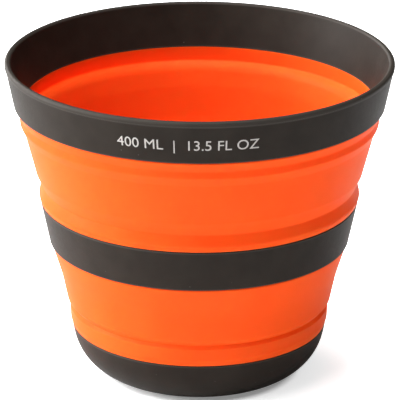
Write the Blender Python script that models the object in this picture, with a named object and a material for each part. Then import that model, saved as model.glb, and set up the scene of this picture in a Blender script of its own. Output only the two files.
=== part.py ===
"""Collapsible travel cup: a stiff base, middle ring and rim ring joined by two folding silicone walls.

Run it with blender --background --python part.py, or from Blender's text editor.
Units are metres and +Z is up. The origin is at the centre of the foot, on the surface the cup stands on.
Every piece is a body of revolution about Z, and both folds slide along Z.
"""

import math
from typing import NamedTuple

import bmesh
import bpy
from mathutils import Matrix, Vector


class Edge(NamedTuple):
    """Edge of a stiff ring that a silicone wall meets, with its outer radius and horizontal wall thickness.

    The lean is how much radius the middle of the ring's wall gains per unit of height.
    """

    radius: float
    height: float
    wall: float
    lean: float


# Overall size
HEIGHT = 0.088
RIM_RADIUS = 0.052
DRAFT = 0.2                  # outward lean of the outer faces of the stiff rings

# Edges where stiff rings and silicone walls meet, from the rim down
RIM_LOW = Edge(radius=0.0496, height=0.0761, wall=0.0027, lean=0.26)
MIDDLE_HIGH = Edge(radius=0.0428, height=0.0491, wall=0.0024, lean=DRAFT)
MIDDLE_LOW = Edge(radius=0.0404, height=0.0376, wall=0.0024, lean=DRAFT)
BASE_HIGH = Edge(radius=0.0345, height=0.0136, wall=0.0022, lean=DRAFT)

# Heights of the lines that the silicone turns over about when the cup is folded
UPPER_HINGE_HIGH = 0.0701
UPPER_HINGE_LOW = 0.0551
LOWER_HINGE = 0.0195

# Bends of the silicone walls from the top down, each as (radius, height, round)
UPPER_WALL_OUTSIDE = [
    (0.0478, 0.0732, 0.0010),   # hollow under the rim ring
    (0.0481, 0.0714, 0.0010),   # ridge
    (0.0469, 0.0690, 0.0015),   # hollow under the ridge
    (0.0439, 0.0574, 0.0030),   # shoulder
    (0.0422, 0.0538, 0.0006),   # groove
    (0.0432, 0.0508, 0.0013),   # band over the middle ring
]
UPPER_WALL_INSIDE = [
    (0.0468, 0.0722, 0.0006),   # corner over the ledge
    (0.0448, 0.0710, 0.0036),   # front of the ledge
    (0.0434, 0.0655, 0.0120),   # foot of the ledge
    (0.0421, 0.0574, 0.0030),   # behind the shoulder
    (0.0411, 0.0538, 0.0008),   # behind the groove
]
LOWER_WALL_OUTSIDE = [
    (0.0373, 0.0285, 0.0400),   # waist
    (0.03575, 0.0211, 0.0008),  # shoulder
    (0.0344, 0.0196, 0.0002),   # groove
    (0.0351, 0.0187, 0.0003),   # upper edge of the band
    (0.03495, 0.0155, 0.0020),  # band over the base
]
LOWER_WALL_INSIDE = [
    (0.0355, 0.0285, 0.0400),   # behind the waist
    (0.0340, 0.0211, 0.0010),   # behind the shoulder
    (0.0332, 0.0194, 0.0008),   # behind the groove
]
SILICONE_STEP_HIGH = 0.0003     # how far a wall stands back from the ring above it
SILICONE_STEP_LOW = 0.0001      # and from the ring below it

# Rim lip: a rounded edge over a low band that stands proud of the ring
LIP_WALL = 0.0017
LIP_ROUND = 0.0008
LIP_BAND_HEIGHT = 0.0013
LIP_BAND_STEP = 0.00015

# Base: its floor, the big outer round, and the recess inside the foot ring
FLOOR = 0.0026
BASE_ROUND = 0.0140
FOOT_RECESS_RADIUS = 0.016
FOOT_RECESS_DEPTH = 0.0008
FOOT_EDGE_ROUND = 0.0004

# Tongue and slot that key each silicone wall into a stiff ring
TONGUE_HALF_WIDTH = 0.0003
TONGUE_LENGTH = 0.0018
GAP = 0.0003                    # clearance between pieces that touch
EDGE_ROUND = 0.00025

SEGMENTS = 48                   # flat facets round each turned piece
ARC_SAGITTA = 0.00006           # how far a rounded corner's flats may lie inside its true arc
WIDEST_ARC_STEP = math.radians(45)
SHARP_ANGLE = math.radians(35)
MERGE = 0.00001

NYLON_COLOUR = (0.045, 0.038, 0.034, 1.0)
NYLON_ROUGHNESS = 0.5
SILICONE_COLOUR = (0.90, 0.135, 0.022, 1.0)
SILICONE_ROUGHNESS = 0.42


def clear_scene():
    for obj in list(bpy.data.objects):
        bpy.data.objects.remove(obj)


def make_material(name, colour, roughness):
    material = bpy.data.materials.new(name)
    material.use_nodes = True
    shader = material.node_tree.nodes["Principled BSDF"]
    shader.inputs["Base Color"].default_value = colour
    shader.inputs["Roughness"].default_value = roughness
    shader.inputs["Metallic"].default_value = 0.0
    return material


def rounded(corners):
    """Points of the closed outline through the corners (radius, height, round), with arcs for rounds."""
    points = []
    for index, (radius, height, fillet) in enumerate(corners):
        corner = Vector((radius, height))
        if fillet == 0:
            points.append(corner)
            continue
        back = (Vector(corners[index - 1][:2]) - corner).normalized()
        ahead = (Vector(corners[(index + 1) % len(corners)][:2]) - corner).normalized()
        half_angle = back.angle(ahead) / 2
        start = corner + back * fillet / math.tan(half_angle)
        centre = corner + (back + ahead).normalized() * fillet / math.sin(half_angle)
        turn = math.copysign(math.pi - 2 * half_angle, back.cross(ahead))
        arc_step = min(WIDEST_ARC_STEP, 2 * math.acos(1 - ARC_SAGITTA / fillet))
        steps = math.ceil(abs(turn) / arc_step)
        for step in range(steps + 1):
            points.append(centre + Matrix.Rotation(-turn * step / steps, 2) @ (start - centre))
    return points


def key(edge, root_height, direction, clearance):
    """Corners of a tongue, or with a clearance of its slot, from its inner side over the tip to its outer side.

    It leaves its root upwards or downwards (direction 1 or -1), along the middle of the ring's wall.
    """
    half = TONGUE_HALF_WIDTH + clearance
    length = TONGUE_LENGTH + 2 * clearance
    root_radius = edge.radius - edge.wall / 2
    tip_radius = root_radius + direction * length * edge.lean
    tip_height = root_height + direction * length
    return [
        (root_radius - half, root_height, 0),
        (tip_radius - half, tip_height, 0),
        (tip_radius + half, tip_height, 0),
        (root_radius + half, root_height, 0),
    ]


def slot(edge, direction):
    """The slot in a ring's edge, which runs upwards or downwards into the ring."""
    return key(edge, edge.height, direction, GAP)


def tongue(edge, direction):
    """The tongue of a wall, which stands up or hangs down into the ring's slot."""
    return key(edge, edge.height - direction * GAP, direction, 0)


def make_empty(name, height, parent, travel):
    """Empty that carries one rigid body: it slides down the Z axis by the fold's travel and no further."""
    empty = bpy.data.objects.new(name, None)
    empty.empty_display_type = "SINGLE_ARROW"
    empty.empty_display_size = 0.02
    bpy.context.scene.collection.objects.link(empty)
    empty.parent = parent
    below = parent["height"] if parent else 0.0
    empty.location = (0, 0, height - below)
    empty["height"] = height
    if travel:
        limit = empty.constraints.new("LIMIT_LOCATION")
        limit.owner_space = "LOCAL"
        limit.use_min_z = True
        limit.min_z = height - below - travel
        limit.use_max_z = True
        limit.max_z = height - below
    return empty


def turned(name, outline, material, body):
    """One full turn of the outline about Z, as an object that hangs from its body's empty."""
    mesh = bpy.data.meshes.new(name)
    work = bmesh.new()
    chain = [work.verts.new((point.x, 0, point.y - body["height"])) for point in outline]
    edges = [work.edges.new(pair) for pair in zip(chain, chain[1:])]
    if outline[0].x > 0:
        edges.append(work.edges.new((chain[-1], chain[0])))
    bmesh.ops.spin(
        work,
        geom=chain + edges,
        cent=(0, 0, 0),
        axis=(0, 0, 1),
        angle=math.tau,
        steps=SEGMENTS,
        use_merge=True,
    )
    bmesh.ops.remove_doubles(work, verts=work.verts[:], dist=MERGE)
    bmesh.ops.recalc_face_normals(work, faces=work.faces[:])
    work.to_mesh(mesh)
    work.free()
    mesh.materials.append(material)
    mesh.shade_smooth()
    mesh.set_sharp_from_angle(angle=SHARP_ANGLE)
    obj = bpy.data.objects.new(name, mesh)
    bpy.context.scene.collection.objects.link(obj)
    obj.parent = body
    return obj


def make_rim_ring(material, body):
    """Stiff ring with the drinking lip, a thin rounded edge over a proud band."""
    lip_radius = RIM_RADIUS + LIP_ROUND * (DRAFT + math.hypot(1, DRAFT) - 1)
    lean = (lip_radius - RIM_LOW.radius) / (HEIGHT - RIM_LOW.height)
    band_low = HEIGHT - LIP_BAND_HEIGHT
    band_radius = lip_radius - lean * LIP_BAND_HEIGHT
    outline = [
        (lip_radius, HEIGHT, LIP_ROUND),
        (band_radius, band_low, 0),
        (band_radius - LIP_BAND_STEP, band_low - LIP_BAND_STEP, 0),
        (RIM_LOW.radius, RIM_LOW.height, EDGE_ROUND),
        *reversed(slot(RIM_LOW, 1)),
        (RIM_LOW.radius - RIM_LOW.wall, RIM_LOW.height, 0),
        (lip_radius - LIP_WALL, HEIGHT, LIP_ROUND),
    ]
    return turned("rim_ring", rounded(outline), material, body)


def make_middle_ring(material, body):
    """Plain stiff ring half way up, slotted top and bottom for the two walls."""
    outline = [
        (MIDDLE_HIGH.radius, MIDDLE_HIGH.height, EDGE_ROUND),
        (MIDDLE_LOW.radius, MIDDLE_LOW.height, EDGE_ROUND),
        *reversed(slot(MIDDLE_LOW, 1)),
        (MIDDLE_LOW.radius - MIDDLE_LOW.wall, MIDDLE_LOW.height, 0),
        (MIDDLE_HIGH.radius - MIDDLE_HIGH.wall, MIDDLE_HIGH.height, 0),
        *slot(MIDDLE_HIGH, -1),
    ]
    return turned("middle_ring", rounded(outline), material, body)


def make_wall(name, above, below, outside, inside, material, body):
    """Silicone wall between two rings' edges, with a tongue into each ring."""
    top = above.height - GAP
    foot = below.height + GAP
    outline = [
        (above.radius - SILICONE_STEP_HIGH, top, 0),
        *outside,
        (below.radius - SILICONE_STEP_LOW, foot, 0),
        *reversed(tongue(below, -1)),
        (below.radius - below.wall, foot, 0),
        *reversed(inside),
        (above.radius - above.wall, top, 0),
        *tongue(above, 1),
    ]
    return turned(name, rounded(outline), material, body)


def make_base_cup(material, body):
    """Stiff bowl-shaped base with a flat foot ring, a shallow recess under it and a flat floor inside."""
    corner_radius = BASE_HIGH.radius - DRAFT * BASE_HIGH.height
    inner_top_radius = BASE_HIGH.radius - BASE_HIGH.wall
    inner_corner_radius = inner_top_radius - DRAFT * (BASE_HIGH.height - FLOOR)
    recess_lip_radius = FOOT_RECESS_RADIUS + FOOT_RECESS_DEPTH
    outline = [
        (0, FOOT_RECESS_DEPTH, 0),
        (FOOT_RECESS_RADIUS, FOOT_RECESS_DEPTH, 0),
        (recess_lip_radius, 0, FOOT_EDGE_ROUND),
        (corner_radius, 0, BASE_ROUND),
        (BASE_HIGH.radius, BASE_HIGH.height, EDGE_ROUND),
        *reversed(slot(BASE_HIGH, -1)),
        (inner_top_radius, BASE_HIGH.height, 0),
        (inner_corner_radius, FLOOR, BASE_ROUND - BASE_HIGH.wall),
        (0, FLOOR, 0),
    ]
    return turned("base_cup", rounded(outline), material, body)


def main():
    clear_scene()
    nylon = make_material("dark_nylon", NYLON_COLOUR, NYLON_ROUGHNESS)
    silicone = make_material("orange_silicone", SILICONE_COLOUR, SILICONE_ROUGHNESS)

    # A wall turns over about its hinge, so the ring above ends as far below the hinge as it stood above it.
    lower_travel = 2 * (MIDDLE_LOW.height - LOWER_HINGE)
    upper_travel = 2 * (UPPER_HINGE_HIGH - UPPER_HINGE_LOW)
    base_body = make_empty("base_body", 0.0, None, 0.0)
    middle_body = make_empty("middle_body", MIDDLE_LOW.height, base_body, lower_travel)
    rim_body = make_empty("rim_body", RIM_LOW.height, middle_body, upper_travel)

    make_base_cup(nylon, base_body)
    make_wall("lower_wall", MIDDLE_LOW, BASE_HIGH, LOWER_WALL_OUTSIDE, LOWER_WALL_INSIDE, silicone, base_body)
    make_middle_ring(nylon, middle_body)
    make_wall("upper_wall", RIM_LOW, MIDDLE_HIGH, UPPER_WALL_OUTSIDE, UPPER_WALL_INSIDE, silicone, middle_body)
    make_rim_ring(nylon, rim_body)


main()
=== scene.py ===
"""Collapsible travel cup on a white studio floor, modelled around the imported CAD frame.

The file is laid out as a Blender add-on and is run as a script. Units are metres and +Z is up.
Every piece of the cup is a body of revolution about Z, so each one is a turned outline.
An outline is a list of corners (radius, height, round), in which round is the radius of the arc there.
"""

import math
from typing import NamedTuple

import bmesh
import bpy
from bpy.props import FloatProperty, FloatVectorProperty, IntProperty, PointerProperty, StringProperty
from mathutils import Matrix, Vector


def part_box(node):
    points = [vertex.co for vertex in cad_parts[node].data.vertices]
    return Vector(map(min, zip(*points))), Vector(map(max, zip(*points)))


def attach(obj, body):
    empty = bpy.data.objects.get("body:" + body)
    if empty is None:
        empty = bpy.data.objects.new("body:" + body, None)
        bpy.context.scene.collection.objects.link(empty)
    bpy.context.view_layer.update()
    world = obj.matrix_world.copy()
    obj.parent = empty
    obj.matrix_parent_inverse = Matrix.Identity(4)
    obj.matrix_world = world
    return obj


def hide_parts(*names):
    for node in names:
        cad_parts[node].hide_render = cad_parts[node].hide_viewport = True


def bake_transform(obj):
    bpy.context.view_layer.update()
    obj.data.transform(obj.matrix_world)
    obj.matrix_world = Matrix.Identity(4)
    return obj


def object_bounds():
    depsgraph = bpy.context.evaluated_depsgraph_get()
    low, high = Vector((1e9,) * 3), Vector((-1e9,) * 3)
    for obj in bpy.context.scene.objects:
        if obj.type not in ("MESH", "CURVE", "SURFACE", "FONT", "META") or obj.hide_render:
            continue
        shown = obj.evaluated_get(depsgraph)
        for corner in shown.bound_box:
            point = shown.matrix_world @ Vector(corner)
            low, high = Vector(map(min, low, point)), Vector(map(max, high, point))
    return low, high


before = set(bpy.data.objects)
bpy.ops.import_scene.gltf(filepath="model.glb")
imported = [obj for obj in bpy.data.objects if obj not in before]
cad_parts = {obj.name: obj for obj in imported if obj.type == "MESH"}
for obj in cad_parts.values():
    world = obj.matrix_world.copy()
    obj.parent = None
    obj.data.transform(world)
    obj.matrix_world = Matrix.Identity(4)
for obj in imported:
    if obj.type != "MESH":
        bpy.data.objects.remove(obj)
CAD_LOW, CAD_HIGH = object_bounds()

bl_info = {
    "name": "Collapsible Travel Cup",
    "version": (1, 0, 0),
    "blender": (4, 5, 0),
    "location": "View3D > Sidebar > Travel Cup",
    "description": "Builds a collapsible travel cup and the studio that it stands in",
    "category": "Object",
}

FRONT = -math.pi / 2            # the angle about Z that the printed side of the cup faces


class Edge(NamedTuple):
    """Edge of a stiff ring that a silicone wall meets, with its outer radius and horizontal wall thickness.

    The lean is how much radius the middle of the ring's wall gains per unit of height.
    """

    radius: float
    height: float
    wall: float
    lean: float


# Heights come from the frame, and radii are the ones that its pieces were turned to.
HEIGHT = CAD_HIGH.z
RIM_RADIUS = 0.052
DRAFT = 0.2
RIM_LOW = Edge(0.0496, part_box("rim_ring")[0].z, wall=0.0027, lean=0.26)
MIDDLE_HIGH = Edge(0.0428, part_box("middle_ring")[1].z, wall=0.0024, lean=DRAFT)
MIDDLE_LOW = Edge(0.0404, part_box("middle_ring")[0].z, wall=0.0024, lean=DRAFT)
BASE_HIGH = Edge(0.0345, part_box("base_cup")[1].z, wall=0.0022, lean=DRAFT)

# Bends of the silicone walls from the top down, each as (radius, height, round)
UPPER_WALL_OUTSIDE = [
    (0.0478, 0.0732, 0.0010),   # hollow under the rim ring
    (0.0481, 0.0714, 0.0010),   # ridge
    (0.0469, 0.0690, 0.0015),   # hollow under the ridge
    (0.0439, 0.0574, 0.0030),   # shoulder
    (0.0422, 0.0538, 0.0006),   # groove
    (0.0432, 0.0508, 0.0013),   # band over the middle ring
]
UPPER_WALL_INSIDE = [
    (0.0468, 0.0722, 0.0006),   # corner over the ledge
    (0.0448, 0.0710, 0.0036),   # front of the ledge
    (0.0434, 0.0655, 0.0120),   # foot of the ledge
    (0.0421, 0.0574, 0.0030),   # behind the shoulder
    (0.0412, 0.0538, 0.0008),   # behind the groove, where the wall turns over
]
LOWER_WALL_OUTSIDE = [
    (0.0373, 0.0285, 0.0400),   # waist
    (0.03575, 0.0211, 0.0008),  # shoulder
    (0.0344, 0.0196, 0.0002),   # groove
    (0.0351, 0.0187, 0.0003),   # upper edge of the band
    (0.03495, 0.0155, 0.0020),  # band over the base
]
LOWER_WALL_INSIDE = [
    (0.0355, 0.0285, 0.0400),   # behind the waist
    (0.0342, 0.0211, 0.0010),   # behind the shoulder
    (0.0334, 0.0194, 0.0008),   # behind the groove, where the wall turns over
]

TONGUE_HALF_WIDTH = 0.0003
TONGUE_LENGTH = 0.0018
ARC_STEP = math.radians(9)
SHARP_ANGLE = math.radians(50)
MERGE = 0.000002

# How tightly an edge turns, as 1 over its radius, where its wear and painted highlight start to show and
# where they are full, and how much of the pale colour it has there, which is partly wear and partly a
# painted highlight
WEAR_AND_HIGHLIGHT_BENDS = (500, 1300)
WEAR_AND_HIGHLIGHT_SHARE = 0.22

# Distances from the cup's axis between which the floor's glow rises, at the foot and further out, so that
# the dimmer glow near the cup paints a shadow round its foot
CONTACT_RADII = (0.0255, 0.0280)
SHADE_RADII = (0.030, 0.060)
SHADE_GLOW = 0.68


class CupShape(bpy.types.PropertyGroup):
    """Sizes of the cup's details."""

    lip_wall: FloatProperty(
        name="Lip Wall", description="Thickness of the rim ring at the drinking lip",
        default=0.0017, unit="LENGTH")
    lip_round: FloatProperty(
        name="Lip Round", description="Radius of the lip's two edges",
        default=0.0008, unit="LENGTH")
    lip_band_height: FloatProperty(
        name="Lip Band Height", description="Height of the band that stands proud under the lip",
        default=0.0013, unit="LENGTH")
    lip_band_step: FloatProperty(
        name="Lip Band Step", description="How far the lip's band stands proud of the ring",
        default=0.00015, unit="LENGTH")
    floor: FloatProperty(
        name="Floor", description="Thickness of the base under the drink",
        default=0.0026, unit="LENGTH")
    base_round: FloatProperty(
        name="Base Round", description="Radius of the round between the base's side and its foot",
        default=0.0140, unit="LENGTH")
    foot_recess_radius: FloatProperty(
        name="Foot Recess Radius", description="Radius of the shallow recess under the base",
        default=0.0160, unit="LENGTH")
    foot_recess_depth: FloatProperty(
        name="Foot Recess Depth", description="Depth of the recess under the base",
        default=0.0008, unit="LENGTH")
    edge_round: FloatProperty(
        name="Edge Round", description="Radius of the stiff rings' outer edges",
        default=0.00025, unit="LENGTH")
    silicone_edge_round: FloatProperty(
        name="Silicone Edge Round", description="Round of the silicone's outer edges at the rings",
        default=0.0004, unit="LENGTH")
    inner_edge_round: FloatProperty(
        name="Inner Edge Round", description="Radius of the edges inside the cup and of the silicone's ends",
        default=0.00012, unit="LENGTH")
    silicone_step_high: FloatProperty(
        name="Upper Step", description="How far a silicone wall stands back from the ring above it",
        default=0.0003, unit="LENGTH")
    silicone_step_low: FloatProperty(
        name="Lower Step", description="How far a silicone wall stands back from the ring below it",
        default=0.0001, unit="LENGTH")
    joint_line: FloatProperty(
        name="Joint Line", description="Gap between a silicone wall and the ring that it is moulded to",
        default=0.00004, unit="LENGTH")
    longest_face: FloatProperty(
        name="Longest Face", description="Longest face along an outline, so that the walls bend smoothly",
        default=0.0005, unit="LENGTH")
    segments: IntProperty(
        name="Segments", description="Number of faces round the cup", default=192, min=24)
    print_text: StringProperty(
        name="Print", description="Capacity printed on the front of the rim ring",
        default="400 ML  |  13.5 FL OZ")
    print_width: FloatProperty(
        name="Print Width", description="Length of the printed line along the ring",
        default=0.0370, unit="LENGTH")
    print_height: FloatProperty(
        name="Print Height", description="Height above the floor of the middle of the print",
        default=0.0812, unit="LENGTH")
    print_thickness: FloatProperty(
        name="Print Thickness", description="Thickness of the ink",
        default=0.00003, unit="LENGTH")
    print_turn: FloatProperty(
        name="Print Turn", description="How far the middle of the print is turned from the front",
        default=math.radians(-3.5), subtype="ANGLE")


class CupFinish(bpy.types.PropertyGroup):
    """Colours and surfaces of the cup's materials."""

    nylon: FloatVectorProperty(
        name="Nylon", description="Colour of the stiff rings and the base",
        subtype="COLOR", size=4, min=0, max=1, default=(0.0165, 0.0128, 0.0099, 1))
    nylon_light: FloatVectorProperty(
        name="Light Nylon", description="Colour where the nylon is a little paler",
        subtype="COLOR", size=4, min=0, max=1, default=(0.0215, 0.0171, 0.0133, 1))
    # Pale colour for the specks, the thin ink and the rubbed edges; on the rubbed edges it is partly wear
    # and partly a painted highlight
    nylon_worn_and_highlight: FloatVectorProperty(
        name="Worn Nylon", description="Colour of the nylon's specks and rubbed edges",
        subtype="COLOR", size=4, min=0, max=1, default=(0.10, 0.09, 0.08, 1))
    nylon_roughness: FloatProperty(
        name="Nylon Roughness", description="Roughness of the moulded texture",
        default=0.5, min=0, max=1)
    silicone: FloatVectorProperty(
        name="Silicone", description="Colour of the folding walls",
        subtype="COLOR", size=4, min=0, max=1, default=(0.88, 0.086, 0.010, 1))
    silicone_light: FloatVectorProperty(
        name="Light Silicone", description="Colour where the silicone is a little paler",
        subtype="COLOR", size=4, min=0, max=1, default=(0.90, 0.096, 0.012, 1))
    silicone_roughness: FloatProperty(
        name="Silicone Roughness", description="Roughness of the satin silicone",
        default=0.45, min=0, max=1)
    silicone_depth: FloatProperty(
        name="Silicone Depth", description="How far light travels inside the silicone",
        default=0.0022, unit="LENGTH")
    ink: FloatVectorProperty(
        name="Ink", description="Colour of the printed capacity",
        subtype="COLOR", size=4, min=0, max=1, default=(0.42, 0.40, 0.38, 1))


class CupStudio(bpy.types.PropertyGroup):
    """Floor, lights and camera."""

    floor_colour: FloatVectorProperty(
        name="Floor Colour", description="Colour of the studio floor",
        subtype="COLOR", size=4, min=0, max=1, default=(0.9, 0.9, 0.9, 1))
    floor_radius: FloatProperty(
        name="Floor Radius", description="Radius of the floor", default=5.0, unit="LENGTH")
    # What is left of the glow under the cup sets how dark the painted shadow round its foot is
    floor_glow: FloatProperty(
        name="Floor Glow", description="Share of the floor's own light that is left under the cup",
        default=0.35, min=0)
    backdrop_glow: FloatProperty(
        name="Backdrop Glow", description="Brightness of the floor's own light away from the cup",
        default=1.0, min=0)
    key_power: FloatProperty(
        name="Key Power", description="Power of the soft light low on the left",
        default=38.0, min=0, unit="POWER")
    high_power: FloatProperty(
        name="High Power", description="Power of the soft light high on the left",
        default=20.0, min=0, unit="POWER")
    back_power: FloatProperty(
        name="Back Power", description="Power of the soft light behind the cup on the left",
        default=15.0, min=0, unit="POWER")
    fill_power: FloatProperty(
        name="Fill Power", description="Power of the soft light high on the right",
        default=2.5, min=0, unit="POWER")
    front_power: FloatProperty(
        name="Front Power", description="Power of the soft light in front on the left",
        default=10.0, min=0, unit="POWER")
    top_power: FloatProperty(
        name="Top Power", description="Power of the soft light over the cup",
        default=16.0, min=0, unit="POWER")
    lens: FloatProperty(
        name="Lens", description="Focal length", default=318.6, min=1, unit="CAMERA")
    camera_distance: FloatProperty(
        name="Camera Distance", description="Distance from the camera to the point that it is aimed at",
        default=0.9559, unit="LENGTH")
    camera_elevation: FloatProperty(
        name="Camera Elevation", description="How far the camera looks down",
        default=math.radians(20.49), subtype="ANGLE")
    camera_roll: FloatProperty(
        name="Camera Roll", description="Tilt of the camera to the side",
        default=math.radians(0.2), subtype="ANGLE")
    aim_side: FloatProperty(
        name="Aim Side", description="How far to the right of the cup's axis the camera is aimed",
        default=0.0002, unit="LENGTH")
    aim_height: FloatProperty(
        name="Aim Height", description="Height on the cup's axis that the camera is aimed at",
        default=0.04784, unit="LENGTH")


# Outlines


def rounded(corners, longest):
    """Points of the closed outline through the corners, with an arc at each round.

    An arc's faces are about as long as the longest face or shorter, and turn by at most ARC_STEP.
    """
    points = []
    for index, (radius, height, fillet) in enumerate(corners):
        corner = Vector((radius, height))
        if fillet == 0:
            points.append(corner)
            continue
        back = (Vector(corners[index - 1][:2]) - corner).normalized()
        ahead = (Vector(corners[(index + 1) % len(corners)][:2]) - corner).normalized()
        half_angle = back.angle(ahead) / 2
        start = corner + back * fillet / math.tan(half_angle)
        centre = corner + (back + ahead).normalized() * fillet / math.sin(half_angle)
        turn = math.copysign(math.pi - 2 * half_angle, back.cross(ahead))
        steps = math.ceil(abs(turn) / min(ARC_STEP, longest / fillet))
        for step in range(steps + 1):
            points.append(centre + Matrix.Rotation(-turn * step / steps, 2) @ (start - centre))
    return points


def key(edge, root_height, direction, clearance):
    """Corners of a tongue, or with a clearance of its slot, from the inner side to the outer side.

    It leaves its root upwards or downwards (direction 1 or -1), along the middle of the ring's wall.
    """
    half = TONGUE_HALF_WIDTH + clearance
    length = TONGUE_LENGTH + 2 * clearance
    root_radius = edge.radius - edge.wall / 2
    tip_radius = root_radius + direction * length * edge.lean
    tip_height = root_height + direction * length
    return [
        (root_radius - half, root_height, 0),
        (tip_radius - half, tip_height, 0),
        (tip_radius + half, tip_height, 0),
        (root_radius + half, root_height, 0),
    ]


def slot(edge, direction, shape):
    """The slot in a ring's edge, which runs upwards or downwards into the ring."""
    return key(edge, edge.height, direction, shape.joint_line)


def tongue(edge, direction, shape):
    """The tongue of a wall, which stands up or hangs down into the ring's slot."""
    return key(edge, edge.height - direction * shape.joint_line, direction, 0)


def rim_ring_outline(shape):
    """Stiff ring with the drinking lip: a thin round edge over a proud band, thicker lower down."""
    lip_radius = RIM_RADIUS + shape.lip_round * (DRAFT + math.hypot(1, DRAFT) - 1)
    lean = (lip_radius - RIM_LOW.radius) / (HEIGHT - RIM_LOW.height)
    band_low = HEIGHT - shape.lip_band_height
    band_radius = lip_radius - lean * shape.lip_band_height
    step = shape.lip_band_step
    return [
        (lip_radius, HEIGHT, shape.lip_round),
        (band_radius, band_low, step / 3),
        (band_radius - step, band_low - step / 2, step / 3),
        (RIM_LOW.radius, RIM_LOW.height, shape.edge_round),
        *reversed(slot(RIM_LOW, 1, shape)),
        (RIM_LOW.radius - RIM_LOW.wall, RIM_LOW.height, shape.inner_edge_round),
        (lip_radius - shape.lip_wall, HEIGHT, shape.lip_round),
    ]


def middle_ring_outline(shape):
    """Plain stiff ring half way up, slotted top and bottom for the two walls."""
    return [
        (MIDDLE_HIGH.radius, MIDDLE_HIGH.height, shape.edge_round),
        (MIDDLE_LOW.radius, MIDDLE_LOW.height, shape.edge_round),
        *reversed(slot(MIDDLE_LOW, 1, shape)),
        (MIDDLE_LOW.radius - MIDDLE_LOW.wall, MIDDLE_LOW.height, shape.inner_edge_round),
        (MIDDLE_HIGH.radius - MIDDLE_HIGH.wall, MIDDLE_HIGH.height, shape.inner_edge_round),
        *slot(MIDDLE_HIGH, -1, shape),
    ]


def wall_outline(above, below, outside, inside, shape):
    """Silicone wall between two rings' edges, thin where it turns over and thick where it meets a ring."""
    top = above.height - shape.joint_line
    foot = below.height + shape.joint_line
    return [
        (above.radius - shape.silicone_step_high, top, shape.silicone_edge_round),
        *outside,
        (below.radius - shape.silicone_step_low, foot, shape.silicone_edge_round),
        *reversed(tongue(below, -1, shape)),
        (below.radius - below.wall, foot, shape.inner_edge_round),
        *reversed(inside),
        (above.radius - above.wall, top, shape.inner_edge_round),
        *tongue(above, 1, shape),
    ]


def base_cup_outline(shape):
    """Stiff bowl-shaped base with a flat foot ring, a shallow recess under it and a flat floor inside."""
    corner_radius = BASE_HIGH.radius - DRAFT * BASE_HIGH.height
    inner_top_radius = BASE_HIGH.radius - BASE_HIGH.wall
    inner_corner_radius = inner_top_radius - DRAFT * (BASE_HIGH.height - shape.floor)
    recess_lip_radius = shape.foot_recess_radius + shape.foot_recess_depth
    return [
        (0, shape.foot_recess_depth, 0),
        (shape.foot_recess_radius, shape.foot_recess_depth, shape.edge_round),
        (recess_lip_radius, 0, shape.edge_round),
        (corner_radius, 0, shape.base_round),
        (BASE_HIGH.radius, BASE_HIGH.height, shape.edge_round),
        *reversed(slot(BASE_HIGH, -1, shape)),
        (inner_top_radius, BASE_HIGH.height, shape.inner_edge_round),
        (inner_corner_radius, shape.floor, shape.base_round - BASE_HIGH.wall),
        (0, shape.floor, 0),
    ]


# Meshes


def new_piece(name, work, material):
    """Object made of the bmesh, smooth but for its sharp edges."""
    mesh = bpy.data.meshes.new(name)
    work.to_mesh(mesh)
    work.free()
    mesh.materials.append(material)
    mesh.shade_smooth()
    mesh.set_sharp_from_angle(angle=SHARP_ANGLE)
    obj = bpy.data.objects.new(name, mesh)
    bpy.context.scene.collection.objects.link(obj)
    return obj


def halve_long_edges(work, longest):
    """Halves the edges until none is longer than that."""
    edges = [edge for edge in work.edges if edge.calc_length() > longest]
    while edges:
        bmesh.ops.subdivide_edges(work, edges=edges, cuts=1)
        edges = [edge for edge in work.edges if edge.calc_length() > longest]


def mark_bends(work):
    """Stores on each vertex how tightly the surface turns outwards, as 1 over the radius, for the wear and
    the painted highlight on tight edges.
    """
    bend = work.verts.layers.float.new("bend")
    for vert in work.verts:
        turn = max(edge.calc_face_angle_signed(0) for edge in vert.link_edges)
        vert[bend] = turn / min(edge.calc_length() for edge in vert.link_edges)


def turned(name, outline, material, shape):
    """One full turn of the outline about Z, with its long stretches split into short faces."""
    work = bmesh.new()
    points = rounded(outline, shape.longest_face)
    chain = [work.verts.new((point.x, 0, point.y)) for point in points]
    for start, end in zip(chain, chain[1:] + chain[:1]):
        if start.co.x > 0 or end.co.x > 0:
            work.edges.new((start, end))
    halve_long_edges(work, shape.longest_face)
    bmesh.ops.spin(
        work,
        geom=work.verts[:] + work.edges[:],
        cent=(0, 0, 0),
        axis=(0, 0, 1),
        angle=math.tau,
        steps=shape.segments,
        use_merge=True,
    )
    bmesh.ops.remove_doubles(work, verts=work.verts[:], dist=MERGE)
    bmesh.ops.recalc_face_normals(work, faces=work.faces[:])
    mark_bends(work)
    return new_piece(name, work, material)


def stand_in(obj, node):
    """The piece is shown in place of the CAD node, whose box it has to fill."""
    bpy.context.view_layer.update()
    corners = [Vector(corner) for corner in obj.bound_box]
    for own, cad in zip((min(c.z for c in corners), max(c.z for c in corners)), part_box(node)):
        if abs(own - cad.z) > TONGUE_LENGTH:
            raise RuntimeError(f"{obj.name} doesn't fill the box of {node}")
    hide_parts(node)


# Materials


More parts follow.
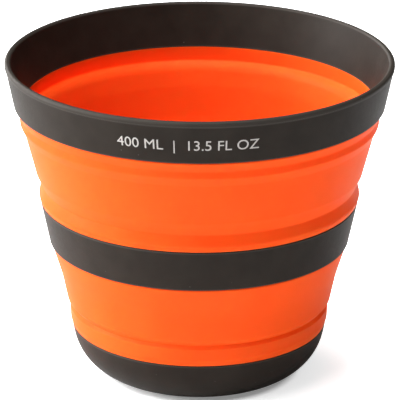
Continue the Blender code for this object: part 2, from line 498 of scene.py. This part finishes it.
class Shader:
    """A material's node tree, built from its texture coordinates towards its Principled BSDF."""

    def __init__(self, name):
        self.material = bpy.data.materials.new(name)
        self.material.use_nodes = True
        self.tree = self.material.node_tree
        self.bsdf = self.tree.nodes["Principled BSDF"]
        self.place = self.add("ShaderNodeTexCoord").outputs["Object"]

    def add(self, kind, inputs=None, **settings):
        """New node with its settings, whose inputs are values or other nodes' outputs."""
        node = self.tree.nodes.new(kind)
        for name, value in settings.items():
            setattr(node, name, value)
        for name, value in (inputs or {}).items():
            if isinstance(value, bpy.types.NodeSocket):
                self.tree.links.new(value, node.inputs[name])
            else:
                node.inputs[name].default_value = value
        return node

    def finish(self, **inputs):
        """Sets or links the Principled BSDF's inputs, given with _ for the spaces in their names."""
        for name, value in inputs.items():
            socket = self.bsdf.inputs[name.replace("_", " ")]
            if isinstance(value, bpy.types.NodeSocket):
                self.tree.links.new(value, socket)
            else:
                socket.default_value = value
        return self.material

    def noise(self, size, detail=2.0):
        """Noise whose features are about that size, in metres."""
        inputs = {"Vector": self.place, "Scale": 1 / size, "Detail": detail}
        return self.add("ShaderNodeTexNoise", inputs).outputs["Fac"]

    def ramp(self, factor, stops):
        """Colours (position, colour) along the factor."""
        node = self.add("ShaderNodeValToRGB", {"Fac": factor})
        elements = node.color_ramp.elements
        for element, (position, colour) in zip(elements, stops):
            element.position = position
            element.color = colour
        return node.outputs["Color"]

    def mix(self, factor, low, high):
        """Colour between two colours."""
        node = self.add("ShaderNodeMix", data_type="RGBA")
        for index, value in ((0, factor), (6, low), (7, high)):
            if isinstance(value, bpy.types.NodeSocket):
                self.tree.links.new(value, node.inputs[index])
            else:
                node.inputs[index].default_value = value
        return node.outputs[2]

    def between(self, factor, low, high, start=0.0, end=1.0):
        """Number that goes from low to high as the factor goes from start to end."""
        inputs = {"Value": factor, "From Min": start, "From Max": end, "To Min": low, "To Max": high}
        return self.add("ShaderNodeMapRange", inputs).outputs["Result"]

    def around(self, middle, spread, factor):
        """Number that goes from that much under the middle to that much over it, as the factor does."""
        return self.between(factor, middle - spread, middle + spread)

    def bump(self, height, depth, below=None):
        """Normal of a surface with that height map, over the normal below it."""
        inputs = {"Height": height, "Strength": 1.0, "Distance": depth}
        if below is not None:
            inputs["Normal"] = below
        return self.add("ShaderNodeBump", inputs).outputs["Normal"]

    def specks(self, spacing, size, share):
        """1 inside round specks of that size, in that share of the cells."""
        inputs = {"Vector": self.place, "Scale": 1 / spacing}
        cells = self.add("ShaderNodeTexVoronoi", inputs)
        near = self.between(cells.outputs["Distance"], 1.0, 0.0, size / spacing * 0.6, size / spacing)
        picked = self.add("ShaderNodeSeparateColor", {"Color": cells.outputs["Color"]}).outputs["Red"]
        kept = self.between(picked, 0.0, 1.0, 1 - share, 1 - share * 0.9)
        return self.times(near, kept)

    def times(self, one, other):
        """Product of two numbers."""
        node = self.add("ShaderNodeMath", operation="MULTIPLY")
        self.tree.links.new(one, node.inputs[0])
        self.tree.links.new(other, node.inputs[1])
        return node.outputs["Value"]


def nylon_material(finish):
    """Matte glass-filled nylon: a fine moulded texture, sparse pale fibre specks, and rubbed edges that are
    paler partly from wear and partly from a painted highlight.
    """
    shader = Shader("moulded_nylon")
    mottle = shader.ramp(shader.noise(0.006, 4), [(0.35, finish.nylon), (0.7, finish.nylon_light)])
    bend = shader.add("ShaderNodeAttribute", attribute_name="bend").outputs["Fac"]
    # Tight convex edges, the lip most of all, are paler: partly wear and partly a painted highlight
    rubbed_and_highlit = shader.between(bend, 0.0, WEAR_AND_HIGHLIGHT_SHARE, *WEAR_AND_HIGHLIGHT_BENDS)
    colour = shader.mix(rubbed_and_highlit, mottle, finish.nylon_worn_and_highlight)
    specks = shader.specks(spacing=0.0022, size=0.00016, share=0.12)
    colour = shader.mix(specks, colour, finish.nylon_worn_and_highlight)
    return shader.finish(
        Base_Color=colour,
        Roughness=shader.around(finish.nylon_roughness, 0.05, shader.noise(0.0012, 2)),
        Normal=shader.bump(shader.noise(0.00035, 3), depth=0.00002),
        Specular_IOR_Level=0.08,
    )


def silicone_material(finish):
    """Satin silicone that light goes into, with a very fine texture."""
    shader = Shader("satin_silicone")
    colour = shader.ramp(shader.noise(0.012, 3), [(0.3, finish.silicone), (0.7, finish.silicone_light)])
    wave = shader.bump(shader.noise(0.006, 1), depth=0.00002)
    return shader.finish(
        Base_Color=colour,
        Roughness=shader.around(finish.silicone_roughness, 0.04, shader.noise(0.004, 3)),
        Normal=shader.bump(shader.noise(0.0003, 2), depth=0.000006, below=wave),
        Specular_IOR_Level=0.03,
        Subsurface_Weight=0.6,
        Subsurface_Radius=(1.0, 0.2, 0.08),
        Subsurface_Scale=finish.silicone_depth,
    )


def ink_material(finish):
    """Pale pad-printed ink, a little thin where it crosses the nylon's texture."""
    shader = Shader("printed_ink")
    thin = shader.between(shader.noise(0.0004, 3), low=0.0, high=0.35, start=0.5, end=0.8)
    colour = shader.mix(thin, finish.ink, finish.nylon_worn_and_highlight)
    return shader.finish(
        Base_Color=colour,
        Roughness=shader.between(shader.noise(0.001, 2), low=0.5, high=0.62),
        Normal=shader.bump(shader.noise(0.00035, 3), depth=0.000015),
    )


def paper_material(studio):
    """Plain white paper."""
    shader = Shader("white_paper")
    return shader.finish(Base_Color=studio.floor_colour, Roughness=0.8, Specular_IOR_Level=0.1)


def glowing_material(studio):
    """White floor that glows less under the cup than away from it: a painted shadow round the foot, darkest
    at the contact and fading out further away.
    """
    shader = Shader("glowing_floor")
    away = shader.add("ShaderNodeVectorMath", {"Vector": shader.place}, operation="LENGTH").outputs["Value"]
    # The glow dims near the cup's axis, painting a shadow round the foot on top of the shadow that the
    # lights cast
    painted_contact_shadow = shader.between(away, studio.floor_glow, 1.0, *CONTACT_RADII)
    shade = shader.between(away, SHADE_GLOW, studio.backdrop_glow, *SHADE_RADII)
    return shader.finish(
        Base_Color=studio.floor_colour,
        Roughness=0.8,
        Specular_IOR_Level=0.0,
        Emission_Color=(1, 1, 1, 1),
        Emission_Strength=shader.times(painted_contact_shadow, shade),
    )


def shared_material(name, make, settings):
    """The material of that name, made the first time that a piece needs it."""
    return bpy.data.materials.get(name) or make(settings)


# Operators


class CupOperator:
    """What the operators share."""

    bl_options = {"REGISTER", "UNDO"}

    def nylon(self, context):
        return shared_material("moulded_nylon", nylon_material, context.scene.cup_finish)

    def silicone(self, context):
        return shared_material("satin_silicone", silicone_material, context.scene.cup_finish)


class TRAVELCUP_OT_base_cup(CupOperator, bpy.types.Operator):
    """Makes the stiff bowl-shaped base that the cup stands on."""

    bl_idname = "travelcup.base_cup"
    bl_label = "Base Cup"

    def execute(self, context):
        shape = context.scene.cup_shape
        base = turned("base_moulding", base_cup_outline(shape), self.nylon(context), shape)
        stand_in(base, "base_cup")
        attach(base, "base")
        return {"FINISHED"}


class TRAVELCUP_OT_lower_wall(CupOperator, bpy.types.Operator):
    """Makes the silicone wall between the base and the middle ring."""

    bl_idname = "travelcup.lower_wall"
    bl_label = "Lower Wall"

    def execute(self, context):
        shape = context.scene.cup_shape
        outline = wall_outline(MIDDLE_LOW, BASE_HIGH, LOWER_WALL_OUTSIDE, LOWER_WALL_INSIDE, shape)
        wall = turned("lower_silicone", outline, self.silicone(context), shape)
        stand_in(wall, "lower_wall")
        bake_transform(wall)
        return {"FINISHED"}


class TRAVELCUP_OT_middle_ring(CupOperator, bpy.types.Operator):
    """Makes the stiff ring half way up the cup."""

    bl_idname = "travelcup.middle_ring"
    bl_label = "Middle Ring"

    def execute(self, context):
        shape = context.scene.cup_shape
        ring = turned("middle_moulding", middle_ring_outline(shape), self.nylon(context), shape)
        stand_in(ring, "middle_ring")
        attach(ring, "middle")
        return {"FINISHED"}


class TRAVELCUP_OT_upper_wall(CupOperator, bpy.types.Operator):
    """Makes the silicone wall between the middle ring and the rim ring."""

    bl_idname = "travelcup.upper_wall"
    bl_label = "Upper Wall"

    def execute(self, context):
        shape = context.scene.cup_shape
        outline = wall_outline(RIM_LOW, MIDDLE_HIGH, UPPER_WALL_OUTSIDE, UPPER_WALL_INSIDE, shape)
        wall = turned("upper_silicone", outline, self.silicone(context), shape)
        stand_in(wall, "upper_wall")
        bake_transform(wall)
        return {"FINISHED"}


class TRAVELCUP_OT_rim_ring(CupOperator, bpy.types.Operator):
    """Makes the deep stiff ring at the mouth, with the drinking lip."""

    bl_idname = "travelcup.rim_ring"
    bl_label = "Rim Ring"

    def execute(self, context):
        shape = context.scene.cup_shape
        ring = turned("rim_moulding", rim_ring_outline(shape), self.nylon(context), shape)
        stand_in(ring, "rim_ring")
        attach(ring, "rim")
        return {"FINISHED"}


def letters(text):
    """Bmesh of the text as one line of solid letters, 1 thick and centred on the origin."""
    curve = bpy.data.curves.new("print_letters", "FONT")
    curve.body = text
    curve.align_x = "CENTER"
    curve.align_y = "CENTER"
    curve.resolution_u = 4
    curve.extrude = 0.5
    obj = bpy.data.objects.new("print_letters", curve)
    bpy.context.scene.collection.objects.link(obj)
    bpy.context.view_layer.update()
    mesh = bpy.data.meshes.new_from_object(obj)
    work = bmesh.new()
    work.from_mesh(mesh)
    bpy.data.objects.remove(obj)
    bpy.data.curves.remove(curve)
    bpy.data.meshes.remove(mesh)
    return work


class TRAVELCUP_OT_capacity_print(CupOperator, bpy.types.Operator):
    """Prints the capacity on the front of the rim ring."""

    bl_idname = "travelcup.capacity_print"
    bl_label = "Capacity Print"

    STRIPS = 64                 # strips along the line, each of which stays flat
    SUNK = 0.25                 # share of the ink's thickness that lies in the ring
    LETTER_MERGE = 0.0005       # distances in the letters' own units, at a font size of 1
    CUT_MERGE = 0.002

    def execute(self, context):
        shape = context.scene.cup_shape
        work = letters(shape.print_text)
        bmesh.ops.remove_doubles(work, verts=work.verts[:], dist=self.LETTER_MERGE)
        bmesh.ops.recalc_face_normals(work, faces=work.faces[:])
        left = min(vert.co.x for vert in work.verts)
        width = max(vert.co.x for vert in work.verts) - left
        for strip in range(1, self.STRIPS):
            bmesh.ops.bisect_plane(
                work,
                geom=work.verts[:] + work.edges[:] + work.faces[:],
                dist=self.CUT_MERGE,
                plane_co=(left + width * strip / self.STRIPS, 0, 0),
                plane_no=(1, 0, 0),
            )
        outline = rim_ring_outline(shape)
        high, low = (Vector(corner[:2]) for corner in (outline[2], outline[3]))
        up = (high - low).normalized()
        out = Vector((up.y, -up.x))
        middle = low + up * (shape.print_height - low.y) / up.y
        scale = shape.print_width / width
        for vert in work.verts:
            level = shape.print_thickness * (vert.co.z + 0.5 - self.SUNK)
            radius, height = middle + up * vert.co.y * scale + out * level
            angle = FRONT + shape.print_turn + vert.co.x * scale / middle.x
            vert.co = (radius * math.cos(angle), radius * math.sin(angle), height)
        bmesh.ops.dissolve_degenerate(work, edges=work.edges[:], dist=MERGE)
        ink = shared_material("printed_ink", ink_material, context.scene.cup_finish)
        obj = new_piece("capacity_print", work, ink)
        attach(obj, "rim")
        return {"FINISHED"}


def soft_light(name, power, size, azimuth, elevation, distance, target):
    """Square soft light aimed at the target from that direction, in degrees.

    Azimuth 0 is in front of the cup and 90 on its right.
    """
    light = bpy.data.lights.new(name, "AREA")
    light.energy = power
    light.size = size
    obj = bpy.data.objects.new(name, light)
    turn = Matrix.Rotation(math.radians(azimuth), 4, "Z")
    tilt = Matrix.Rotation(math.radians(90 - elevation), 4, "X")
    obj.matrix_world = Matrix.Translation(target) @ turn @ tilt @ Matrix.Translation((0, 0, distance))
    obj.visible_camera = False
    bpy.context.scene.collection.objects.link(obj)


def floor_disc(name, radius, height, wall, material):
    """Round floor with an upright wall all round it."""
    work = bmesh.new()
    bmesh.ops.create_circle(work, cap_ends=True, segments=96, radius=radius)
    bmesh.ops.translate(work, verts=work.verts[:], vec=(0, 0, height))
    rim = bmesh.ops.extrude_edge_only(work, edges=[edge for edge in work.edges if edge.is_boundary])
    raised = [item for item in rim["geom"] if isinstance(item, bmesh.types.BMVert)]
    bmesh.ops.translate(work, verts=raised, vec=(0, 0, wall))
    disc = new_piece(name, work, material)
    return disc


class TRAVELCUP_OT_stage(CupOperator, bpy.types.Operator):
    """Makes the white floor, the lights and the camera."""

    bl_idname = "travelcup.stage"
    bl_label = "Stage"

    FLOOR_GAP = 0.00005         # keeps the floor just clear of the foot
    LIGHT_DISTANCE = 1.5
    LIGHTS = (                  # name, side, azimuth and elevation
        ("key", 0.8, -95, 16),
        ("high", 0.8, -90, 50),
        ("back", 0.8, -142, 20),
        ("fill", 0.6, 45, 52),
        ("front", 0.7, -42, 38),
        ("top", 0.5, 0, 88),
    )

    def execute(self, context):
        studio = context.scene.cup_studio
        # The camera sees a floor that glows softly, and the cup is lit by plain paper just under it.
        shown = floor_disc("studio_floor", studio.floor_radius, -self.FLOOR_GAP, studio.floor_radius,
                           glowing_material(studio))
        shown.visible_diffuse = False
        shown.visible_glossy = False
        shown.visible_transmission = False
        shown.visible_shadow = False
        paper = floor_disc("studio_paper", studio.floor_radius, -2 * self.FLOOR_GAP, self.FLOOR_GAP,
                           paper_material(studio))
        paper.visible_camera = False

        world = bpy.data.worlds.new("studio_dark")
        world.use_nodes = True
        world.node_tree.nodes["Background"].inputs["Color"].default_value = (0, 0, 0, 1)
        context.scene.world = world

        centre = (0, 0, studio.aim_height)
        for name, size, azimuth, elevation in self.LIGHTS:
            power = getattr(studio, f"{name}_power")
            soft_light(f"{name}_light", power, size, azimuth, elevation, self.LIGHT_DISTANCE, centre)

        camera = bpy.data.objects.new("studio_camera", bpy.data.cameras.new("studio_camera"))
        camera.data.lens = studio.lens
        aim = Matrix.Translation((studio.aim_side, 0, studio.aim_height))
        tilt = Matrix.Rotation(math.pi / 2 - studio.camera_elevation, 4, "X")
        roll = Matrix.Rotation(studio.camera_roll, 4, "Z")
        away = Matrix.Translation((0, 0, studio.camera_distance))
        camera.matrix_world = aim @ tilt @ away @ roll
        context.scene.collection.objects.link(camera)
        context.scene.camera = camera
        context.scene.view_settings.view_transform = "Standard"
        return {"FINISHED"}


class TRAVELCUP_PT_panel(bpy.types.Panel):
    """Lists the cup's pieces, with its sizes, finish and studio."""

    bl_label = "Travel Cup"
    bl_idname = "TRAVELCUP_PT_panel"
    bl_space_type = "VIEW_3D"
    bl_region_type = "UI"
    bl_category = "Travel Cup"

    def draw(self, context):
        layout = self.layout
        for operator in OPERATORS:
            layout.operator(operator.bl_idname)
        for settings in (context.scene.cup_shape, context.scene.cup_finish, context.scene.cup_studio):
            box = layout.box()
            for name in settings.__annotations__:
                box.prop(settings, name)


OPERATORS = (
    TRAVELCUP_OT_base_cup,
    TRAVELCUP_OT_lower_wall,
    TRAVELCUP_OT_middle_ring,
    TRAVELCUP_OT_upper_wall,
    TRAVELCUP_OT_rim_ring,
    TRAVELCUP_OT_capacity_print,
    TRAVELCUP_OT_stage,
)
SETTINGS = {"cup_shape": CupShape, "cup_finish": CupFinish, "cup_studio": CupStudio}
CLASSES = (*SETTINGS.values(), *OPERATORS, TRAVELCUP_PT_panel)


def register():
    for cls in CLASSES:
        bpy.utils.register_class(cls)
    for name, cls in SETTINGS.items():
        setattr(bpy.types.Scene, name, PointerProperty(type=cls))


def unregister():
    for name in SETTINGS:
        delattr(bpy.types.Scene, name)
    for cls in reversed(CLASSES):
        bpy.utils.unregister_class(cls)


def main():
    register()
    bpy.ops.travelcup.base_cup()
    bpy.ops.travelcup.lower_wall()
    bpy.ops.travelcup.middle_ring()
    bpy.ops.travelcup.upper_wall()
    bpy.ops.travelcup.rim_ring()
    bpy.ops.travelcup.capacity_print()
    bpy.ops.travelcup.stage()


if __name__ == "__main__":
    main()
